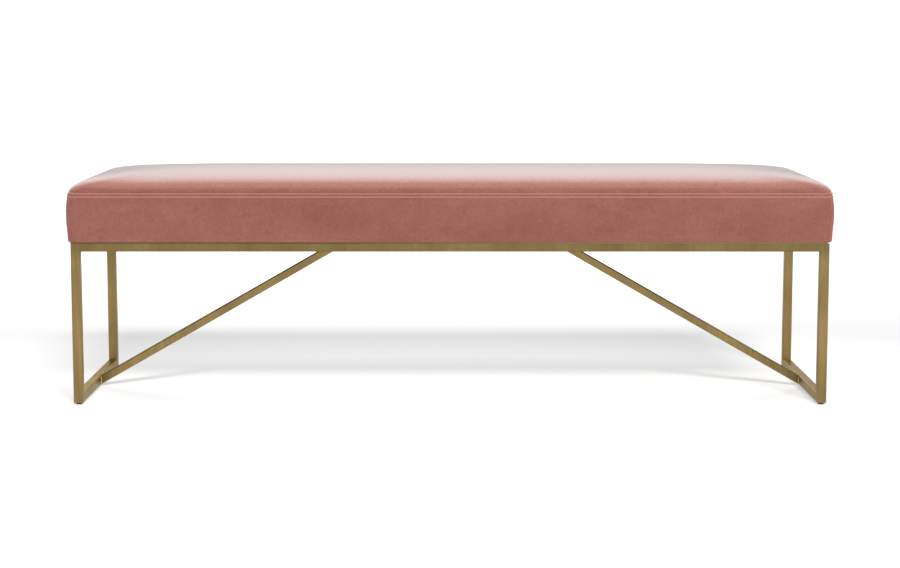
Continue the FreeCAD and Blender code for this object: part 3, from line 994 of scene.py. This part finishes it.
def dust_cover(material):
    """Thin black cloth under the deck, with a turned hem, pulled into faint ripples by its staples."""
    low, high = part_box("dust_cover")
    points = []
    for top in (False, True):
        for row in range(LINING_ROWS + 1):
            y = low.y + (high.y - low.y) * row / LINING_ROWS
            for column in range(LINING_COLUMNS + 1):
                x = low.x + (high.x - low.x) * column / LINING_COLUMNS
                points.append((x, y, cover_level(x, y, low, high, top)))
    width = LINING_COLUMNS + 1
    layer = width * (LINING_ROWS + 1)
    faces = []
    for row in range(LINING_ROWS):
        for column in range(LINING_COLUMNS):
            near = row * width + column
            far = near + width
            faces.append((near, far, far + 1, near + 1))
            faces.append((near + layer, near + layer + 1, far + layer + 1, far + layer))
    rim = list(range(LINING_COLUMNS))
    rim += [row * width + LINING_COLUMNS for row in range(LINING_ROWS)]
    rim += [LINING_ROWS * width + column for column in range(LINING_COLUMNS, 0, -1)]
    rim += [row * width for row in range(LINING_ROWS, 0, -1)]
    for start, end in zip(rim, rim[1:] + rim[:1]):
        faces.append((start, end, end + layer, start + layer))
    item = piece("lining_sheet", points, faces, material)
    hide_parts("dust_cover")
    return item


def spaced(low, high, pitch):
    """The middles of even steps of about one pitch."""
    count = round((high - low) / pitch)
    return [low + (high - low) * (step + 0.5) / count for step in range(count)]


def staple_places():
    """Where staples sit along the hem, and which way they lie: none where the frame covers it."""
    low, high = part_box("dust_cover")
    inset = HEM / 2
    places = []
    for y in (low.y + inset, high.y - inset):
        for x in spaced(low.x, high.x, STAPLE_PITCH):
            on_rail = abs(abs(x) - CROSS_RAIL) < TUBE
            on_tab = abs(abs(x) - TAB_PLACE) < STAPLE_OFF_TAB
            if not on_rail and not on_tab:
                places.append((x, y, Vector((1, 0, 0))))
    for x in (low.x + inset, high.x - inset):
        for y in spaced(low.y, high.y, STAPLE_PITCH):
            places.append((x, y, Vector((0, 1, 0))))
    return places


def add_staple(points, faces, middle, along, side):
    """A crown with rounded shoulders whose ends dive into the cloth."""
    half = STAPLE_CROWN / 2
    base = len(points)
    stations = [(inset - half, level) for inset, level in STAPLE_SHOULDER]
    stations += [(-place, level) for place, level in reversed(stations)]
    section = ((-1, -1), (1, -1), (1, 1), (-1, 1))
    for place, level in stations:
        centre = middle + along * place + Vector((0, 0, level))
        for across, up in section:
            points.append(centre + side * across * STAPLE_WIDTH / 2 + Vector((0, 0, up * STAPLE_GAUGE / 2)))
    add_closed_tube(faces, base, len(section), len(stations))


def staples(material):
    """Flat-crowned wire staples along the dust cover's hem."""
    up = Vector((0, 0, 1))
    points = []
    faces = []
    for x, y, along in staple_places():
        along = (along + up.cross(along) * dice.uniform(-STAPLE_SKEW, STAPLE_SKEW)).normalized()
        side = up.cross(along)
        shift = side * dice.uniform(-STAPLE_SHIFT, STAPLE_SHIFT)
        middle = Vector((x, y, FRAME_TOP + LINING_LOW - HEM_DROP)) + shift
        add_staple(points, faces, middle, along, side)
    return piece("staples", points, faces, material, smooth=False)


# Welds

def add_weld(points, faces, start, end, first, second):
    """A rippled fillet bead from start to end, between faces that run off towards first and second."""
    start, end, first, second = (Vector(value) for value in (start, end, first, second))
    base = len(points)
    count = max(4, round((end - start).length / WELD_STEP))
    for step in range(count + 1):
        share = step / count
        taper = min(1, WELD_TAPER * min(share, 1 - share) + WELD_END)
        ripple = WELD_RIPPLE * math.sin(step * WELD_WAVE) + dice.uniform(-WELD_CHANCE, WELD_CHANCE)
        size = WELD * taper * (1 + ripple)
        section = (
            (-WELD_BED, -WELD_BED),
            (size, -WELD_BED),
            (size * WELD_FULL, size * WELD_SLIM),
            (size * WELD_SLIM, size * WELD_FULL),
            (-WELD_BED, size),
        )
        root = start.lerp(end, share)
        points.extend(root + first * across + second * up for across, up in section)
    add_closed_tube(faces, base, len(section), count + 1)


def tab_beads():
    """Each tab's bead along the long rail it stands on."""
    beads = []
    for corner in CORNERS:
        low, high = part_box(f"{corner}_tab")
        inward = 1 if low.y < 0 else -1
        face = low.y if inward > 0 else high.y
        start = (low.x + TAB_END, face, low.z)
        end = (high.x - TAB_END, face, low.z)
        beads.append((start, end, (0, inward, 0), (0, 0, -1)))
    return beads


def cross_rail_beads():
    """Upright beads on both sides of the cross rails' ends."""
    beads = []
    for side_name in ("left", "right"):
        low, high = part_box(f"{side_name}_cross_rail")
        for y, inward in ((low.y, 1), (high.y, -1)):
            for x, side in ((low.x, -1), (high.x, 1)):
                start = (x, y, low.z + RAIL_BOTTOM)
                end = (x, y, high.z - RAIL_TOP)
                beads.append((start, end, (side, 0, 0), (0, inward, 0)))
    return beads


def brace_beads():
    """Upright beads on both sides of each brace, where it lands on its floor bar."""
    beads = []
    for side_name, side in (("left", 1), ("right", -1)):
        bar_low, bar_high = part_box(f"{side_name}_floor_bar")
        brace_low, brace_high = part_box(f"{side_name}_brace")
        face = bar_high.x if side > 0 else bar_low.x
        for y, outward in ((brace_low.y, -1), (brace_high.y, 1)):
            start = (face, y, bar_low.z + BAR_BOTTOM)
            end = (face, y, bar_high.z - BAR_TOP)
            beads.append((start, end, (side, 0, 0), (0, outward, 0)))
    return beads


def welds(material):
    """Beads where the tabs and the cross rails meet the long rails, and where the braces land."""
    points = []
    faces = []
    for bead in tab_beads() + cross_rail_beads() + brace_beads():
        add_weld(points, faces, *bead)
    piece("frame_welds", points, faces, material)


# Screws and studs

def shank_outline(length):
    """The screw's neck, the crests and roots of its thread, and its point."""
    outline = [SHANK_NECK]
    level, thread_end = SCREW_THREAD
    while level < thread_end:
        outline += [(SCREW_CORE, level), (SCREW_CREST, level + SCREW_FLANK)]
        level += SCREW_PITCH
    return outline + [(SHANK_END, level), (SHANK_POINT, length)]


def seat_screws(material):
    """Hexagon washer-head screws under the tabs."""
    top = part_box("front_left_tab")[0].z
    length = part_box("seat_screws")[1].z - top
    points = []
    faces = []
    for x in (-TAB_PLACE, TAB_PLACE):
        for y in (-SCREW_ROW, SCREW_ROW):
            centre = (x, y, top)
            add_turned(points, faces, WASHER_OUTLINE, centre, WASHER_SIDES)
            add_turned(points, faces, HEAD_OUTLINE, centre, HEAD_SIDES)
            add_turned(points, faces, shank_outline(length), centre, SHANK_SIDES)
    item = piece("washer_head_screws", points, faces, material, smooth=False)
    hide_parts("seat_screws")


def threaded_stud(corner, material):
    """A levelling foot's stud whose thread is one helix: its radius follows the angle and the height."""
    low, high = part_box(f"{corner}_glide_stud")
    centre = (low + high) / 2
    rows = round((high.z - low.z) / (THREAD_PITCH / THREAD_ROWS))
    points = []
    faces = []
    for row in range(rows + 1):
        level = low.z + (high.z - low.z) * row / rows
        plain = level < low.z + STUD_PLAIN or row == rows
        for step in range(STUD_SIDES):
            phase = (level / THREAD_PITCH - step / STUD_SIDES) % 1
            depth = 0 if plain else THREAD_DEPTH * abs(2 * phase - 1)
            tip = STUD_TIP if row == rows else 0
            radius = STUD_RADIUS - depth - tip
            angle = 2 * math.pi * step / STUD_SIDES
            points.append((centre.x + radius * math.cos(angle), centre.y + radius * math.sin(angle), level))
    add_closed_tube(faces, 0, STUD_SIDES, rows + 1)
    item = piece(f"{corner}_threaded_stud", points, faces, material, f"{corner}_glide")
    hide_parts(f"{corner}_glide_stud")


def assign(names, material):
    for name in names:
        mesh = nodes[name].data
        mesh.materials.clear()
        mesh.materials.append(material)


# Light, floor and camera

def camera():
    """Fitted to the edges of the legs, rails and floor bars in the photograph."""
    data = bpy.data.cameras.new("camera")
    data.lens = FOCAL_LENGTH
    data.sensor_width = SENSOR_WIDTH
    item = bpy.data.objects.new("camera", data)
    item.location = CAMERA_PLACE
    item.rotation_euler = (math.pi / 2 - CAMERA_TILT, 0, 0)
    scene.collection.objects.link(item)
    scene.camera = item


def floor_white():
    """A matt white that glows where it is looked at, and can be seen through from below."""
    tree = Finish("floor_white", Base_Color=(*grey(0.82), 1), Roughness=0.9, Specular_IOR_Level=0.0)
    tree.shader.inputs["Emission Color"].default_value = (*WHITE, 1)
    squeezed = tree.add("ShaderNodeVectorMath", operation="MULTIPLY")
    squeezed.inputs[1].default_value = FLOOR_SQUEEZE
    tree.join(tree.place, squeezed, 0)
    length = tree.add("ShaderNodeVectorMath", operation="LENGTH")
    tree.join(squeezed.outputs["Vector"], length, 0)
    distance = length.outputs["Value"]
    glow = tree.maths("ADD", tree.spread(distance, *GLOW_NEAR), tree.spread(distance, *GLOW_FAR))
    glow = tree.maths("ADD", glow, tree.spread(tree.split(tree.place)["Y"], *GLOW_FRONT))
    tree.join(tree.maths("MULTIPLY", tree.seen(), glow), tree.shader, "Emission Strength")
    one_sided = tree.add("ShaderNodeMixShader")
    tree.join(tree.add("ShaderNodeNewGeometry").outputs["Backfacing"], one_sided, 0)
    tree.join(tree.shader.outputs["BSDF"], one_sided, 1)
    tree.join(tree.add("ShaderNodeBsdfTransparent").outputs["BSDF"], one_sided, 2)
    tree.join(one_sided.outputs["Shader"], tree.nodes["Material Output"], "Surface")
    return tree.material


def card(name, low, high, material):
    """A flat rectangle beside the bench, with low and high as opposite corners."""
    corners = (low, (high.x, low.y, low.z), high, (low.x, high.y, high.z))
    item = new_object(name, corners, [(0, 1, 2, 3)])
    item.data.materials.append(material)
    return item


def floor():
    """A wide plain floor under the bench's feet."""
    card("floor", FLOOR_LOW, FLOOR_HIGH, floor_white())


def flag():
    """A black card behind the left end that only reflections show."""
    black = Finish("flag_black", Base_Color=(*grey(0.01), 1), Roughness=0.9)
    item = card("flag", FLAG_LOW, FLAG_HIGH, black.material)
    item.visible_camera = False
    item.visible_shadow = False
    item.visible_diffuse = False


def world():
    """A faint even light all round, white where it is looked at."""
    data = bpy.data.worlds.new("studio")
    scene.world = data
    tree = Tree(data)
    background = tree.nodes["Background"]
    background.inputs["Color"].default_value = (*WHITE, 1)
    tree.join(tree.spread(tree.seen(), WORLD_LIGHT, 1.0, 0, 1), background, "Strength")


def lights():
    """Rectangular soft lamps, all turned to the bench."""
    for name, (place, width, height, watts) in LAMPS.items():
        data = bpy.data.lights.new(name, "AREA")
        data.shape = "RECTANGLE"
        data.size = width
        data.size_y = height
        data.energy = watts
        item = bpy.data.objects.new(name, data)
        item.location = place
        item.rotation_euler = (LIT_POINT - Vector(place)).to_track_quat("-Z", "Y").to_euler()
        scene.collection.objects.link(item)


velvet_cloth = velvet()
zinc_finish = zinc()
assign([name for name in nodes if name.endswith(("_rail", "_leg", "_bar", "_tab"))], brass())
# The braces' upper edges take painted shade
assign(["left_brace", "right_brace"], brass("brace_brass", slope_shade_tone=PAINTED_SLOPE_SHADE))
assign([name for name in nodes if name.endswith("_nut")], zinc_finish)
assign([name for name in nodes if name.endswith("_pad")], nylon())
assign(["deck"], plywood())
seat, seat_rows, seat_ring = cushion(velvet_cloth)
stitches(seat, seat_rows, seat_ring, velvet_cloth)
lining = dust_cover(lining_cloth())
lining_staples = staples(zinc_finish)
# The weld beads are brightened all over, a painted highlight
welds(brass("weld_highlight_brass", lift=PAINTED_WELD_HIGHLIGHT))
seat_screws(zinc_finish)
for corner_name in CORNERS:
    threaded_stud(corner_name, zinc_finish)
camera()
floor()
flag()
world()
lights()

scene.view_settings.view_transform = "Standard"
